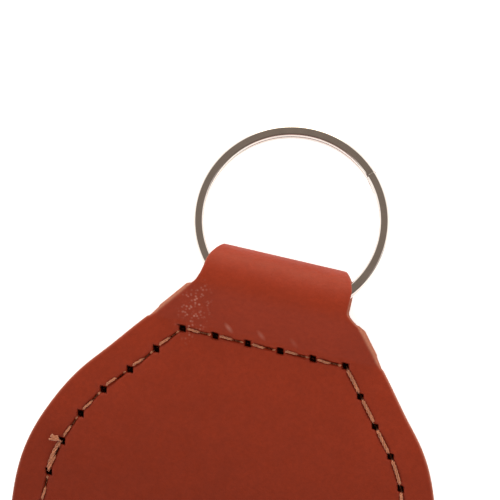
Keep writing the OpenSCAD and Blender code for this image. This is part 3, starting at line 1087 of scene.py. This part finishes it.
class KEYFOB_OT_ring(bpy.types.Operator):
    """Makes the split ring from one wire that goes twice round"""
    bl_idname = "keyfob.ring"
    bl_label = "Split ring"

    def execute(self, context):
        settings = context.scene.keyfob_ring
        points, _, faces = weld([(wire_rows(settings), 0.0, True)])
        points = lay(points, RING_AT, RING_X, RING_Y, RING_Z)
        piece = add_piece("ring_wire", points, faces)
        piece.data.materials.append(nickel_material(settings))
        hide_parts("split_ring")
        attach(piece, "ring")
        return {"FINISHED"}


class KEYFOB_OT_stage(bpy.types.Operator):
    """Makes the floor, the soft light and the camera"""
    bl_idname = "keyfob.stage"
    bl_label = "Stage"

    def execute(self, context):
        settings = context.scene.keyfob_stage
        add_floor(settings)
        add_room(settings)
        add_lamp(settings)
        add_camera(settings)
        return {"FINISHED"}


class KEYFOB_PT_panel(bpy.types.Panel):
    """Lists what builds the key fob"""
    bl_idname = "KEYFOB_PT_panel"
    bl_label = "Key fob"
    bl_space_type = "VIEW_3D"
    bl_region_type = "UI"
    bl_category = "Key Fob"

    def draw(self, context):
        for operator in OPERATORS:
            self.layout.operator(operator.bl_idname)
        for name in SETTINGS:
            box = self.layout.box()
            group = getattr(context.scene, name)
            for key in group.bl_rna.properties.keys():
                if key not in ("rna_type", "name"):
                    box.prop(group, key)


# ---------------------------------------------------------------- stage


FLOOR = 2.0                      # m from the middle to each side of the floor
ROOM = ((0.0, (1.0, 1.0, 1.0)),  # the room's colours, from straight below to straight above
        (0.4, (1.5, 1.5, 1.5)),
        (0.74, (1.4, 1.4, 1.4)),
        (0.84, (0.25, 0.21, 0.18)),
        (1.0, (0.2, 0.165, 0.14)))
DARK_SIDE = (0.42, -0.9, 0.0)    # direction of the near side, dark where the metal mirrors it
DARK_RANGE = (0.1, 0.3)          # part of that direction where the darkness begins and is full
DARK_COLOUR = (0.14, 0.118, 0.102)
LAMP_AT = (-0.04, 0.27, 0.055)   # m
LAMP_SIDE = 0.16                 # m
LAMP_COLOUR = (1.0, 0.87, 0.62)


def add_floor(settings):
    """A wide pale floor under the object, at the height of the table."""
    mesh = bpy.data.meshes.new("floor")
    mesh.from_pydata([(-FLOOR, -FLOOR, 0), (FLOOR, -FLOOR, 0), (FLOOR, FLOOR, 0),
                      (-FLOOR, FLOOR, 0)], [], [(0, 1, 2, 3)])
    floor = bpy.data.objects.new("floor", mesh)
    bpy.context.scene.collection.objects.link(floor)
    material = bpy.data.materials.new("pale_floor")
    material.use_nodes = True
    shader = material.node_tree.nodes["Principled BSDF"]
    shader.inputs["Base Color"].default_value = rgba(settings.floor_colour)
    shader.inputs["Roughness"].default_value = 0.9
    shader.inputs["Specular IOR Level"].default_value = 0.1
    shader.inputs["Emission Color"].default_value = (1.0, 1.0, 1.0, 1.0)
    shader.inputs["Emission Strength"].default_value = settings.floor_glow
    mesh.materials.append(material)


def add_room(settings):
    """A bright room, darker overhead, and darker on the near side for mirrored rays only."""
    world = bpy.data.worlds.new("room")
    bpy.context.scene.world = world
    world.use_nodes = True
    tree = world.node_tree
    back = tree.nodes["Background"]
    back.inputs["Strength"].default_value = settings.sky
    coords = tree.nodes.new("ShaderNodeTexCoord")

    # Colours by height
    split = tree.nodes.new("ShaderNodeSeparateXYZ")
    ramp = tree.nodes.new("ShaderNodeValToRGB")
    tree.links.new(coords.outputs["Generated"], split.inputs[0])
    tree.links.new(split.outputs["Z"], ramp.inputs[0])
    bar = ramp.color_ramp
    bar.elements[0].position, bar.elements[1].position = ROOM[0][0], ROOM[-1][0]
    for place, _ in ROOM[1:-1]:
        bar.elements.new(place)
    for element, (_, tint) in zip(bar.elements, ROOM):
        element.color = (*tint, 1.0)

    # The dark near side
    facing = tree.nodes.new("ShaderNodeVectorMath")
    facing.operation = "DOT_PRODUCT"
    facing.inputs[1].default_value = DARK_SIDE
    tree.links.new(coords.outputs["Generated"], facing.inputs[0])
    near_side = tree.nodes.new("ShaderNodeMapRange")
    near_side.inputs["From Min"].default_value = DARK_RANGE[0]
    near_side.inputs["From Max"].default_value = DARK_RANGE[1]
    tree.links.new(facing.outputs["Value"], near_side.inputs["Value"])
    path = tree.nodes.new("ShaderNodeLightPath")
    only_mirrored = tree.nodes.new("ShaderNodeMath")
    only_mirrored.operation = "MULTIPLY"
    tree.links.new(near_side.outputs[0], only_mirrored.inputs[0])
    tree.links.new(path.outputs["Is Glossy Ray"], only_mirrored.inputs[1])
    shade = tree.nodes.new("ShaderNodeMix")
    shade.data_type = "RGBA"
    tree.links.new(only_mirrored.outputs[0], shade.inputs[0])
    tree.links.new(ramp.outputs[0], shade.inputs[6])
    shade.inputs[7].default_value = (*DARK_COLOUR, 1.0)
    tree.links.new(shade.outputs[2], back.inputs["Color"])


def put_in_place(holder, right, up, back, at):
    """Turns an object to three directions of its own and puts it at a point."""
    turn = np.eye(4)
    turn[:3, 0], turn[:3, 1], turn[:3, 2], turn[:3, 3] = right, up, back, at
    holder.matrix_world = Matrix(turn.tolist())


def add_lamp(settings):
    """A soft lamp beyond the ring, turned towards the middle of the object."""
    lamp = bpy.data.lights.new("soft_lamp", "AREA")
    lamp.shape = "SQUARE"
    lamp.size = LAMP_SIDE
    lamp.color = LAMP_COLOUR
    lamp.energy = settings.key
    holder = bpy.data.objects.new("soft_lamp", lamp)
    bpy.context.scene.collection.objects.link(holder)
    back = np.array(LAMP_AT) / np.linalg.norm(LAMP_AT)
    right = np.cross((0.0, 0.0, 1.0), back)
    right = right / np.linalg.norm(right)
    put_in_place(holder, right, np.cross(back, right), back, LAMP_AT)


CAMERA_PITCH = math.radians(4.0)     # leans towards the fob's bottom
CAMERA_YAW = math.radians(3.74)      # leans to the right of the fob
CAMERA_ROLL = math.radians(13.33)    # turns about the line of sight
CAMERA_ASIDE = (0.45, 23.23)         # mm right and up in the camera's own directions


def add_camera(settings):
    """A long lens that looks down at the fob, turned so that the fob leans to one side."""
    back = np.array([math.sin(CAMERA_YAW) * math.cos(CAMERA_PITCH), -math.sin(CAMERA_PITCH),
                     math.cos(CAMERA_YAW) * math.cos(CAMERA_PITCH)])
    right = np.cross((0.0, 1.0, 0.0), back)
    right = right / np.linalg.norm(right)
    up = np.cross(back, right)
    side = right * math.cos(CAMERA_ROLL) + up * math.sin(CAMERA_ROLL)
    top = up * math.cos(CAMERA_ROLL) - right * math.sin(CAMERA_ROLL)
    at = (CAMERA_ASIDE[0] * side + CAMERA_ASIDE[1] * top) * MM + settings.distance * back
    data = bpy.data.cameras.new("camera")
    data.lens = settings.lens
    data.sensor_width = 36.0
    data.clip_start, data.clip_end = 0.01, 50.0
    data.dof.use_dof = False
    camera = bpy.data.objects.new("camera", data)
    bpy.context.scene.collection.objects.link(camera)
    put_in_place(camera, side, top, back, at)
    bpy.context.scene.camera = camera
    bpy.context.scene.view_settings.view_transform = "Standard"


SETTINGS = {
    "keyfob_leather": LeatherSettings,
    "keyfob_thread": ThreadSettings,
    "keyfob_ring": RingSettings,
    "keyfob_stage": StageSettings,
}
OPERATORS = (KEYFOB_OT_leather, KEYFOB_OT_threads, KEYFOB_OT_ring, KEYFOB_OT_stage)
CLASSES = (*SETTINGS.values(), *OPERATORS, KEYFOB_PT_panel)


def register():
    """Adds the classes and the settings to Blender."""
    for cls in CLASSES:
        bpy.utils.register_class(cls)
    for name, group in SETTINGS.items():
        setattr(bpy.types.Scene, name, PointerProperty(type=group))


def unregister():
    """Takes them out again, in reverse."""
    for name in SETTINGS:
        delattr(bpy.types.Scene, name)
    for cls in reversed(CLASSES):
        bpy.utils.unregister_class(cls)


def main():
    """Builds every piece and the stage."""
    register()
    bpy.ops.keyfob.leather()
    bpy.ops.keyfob.threads()
    bpy.ops.keyfob.ring()
    bpy.ops.keyfob.stage()


if __name__ == "__main__":
    main()
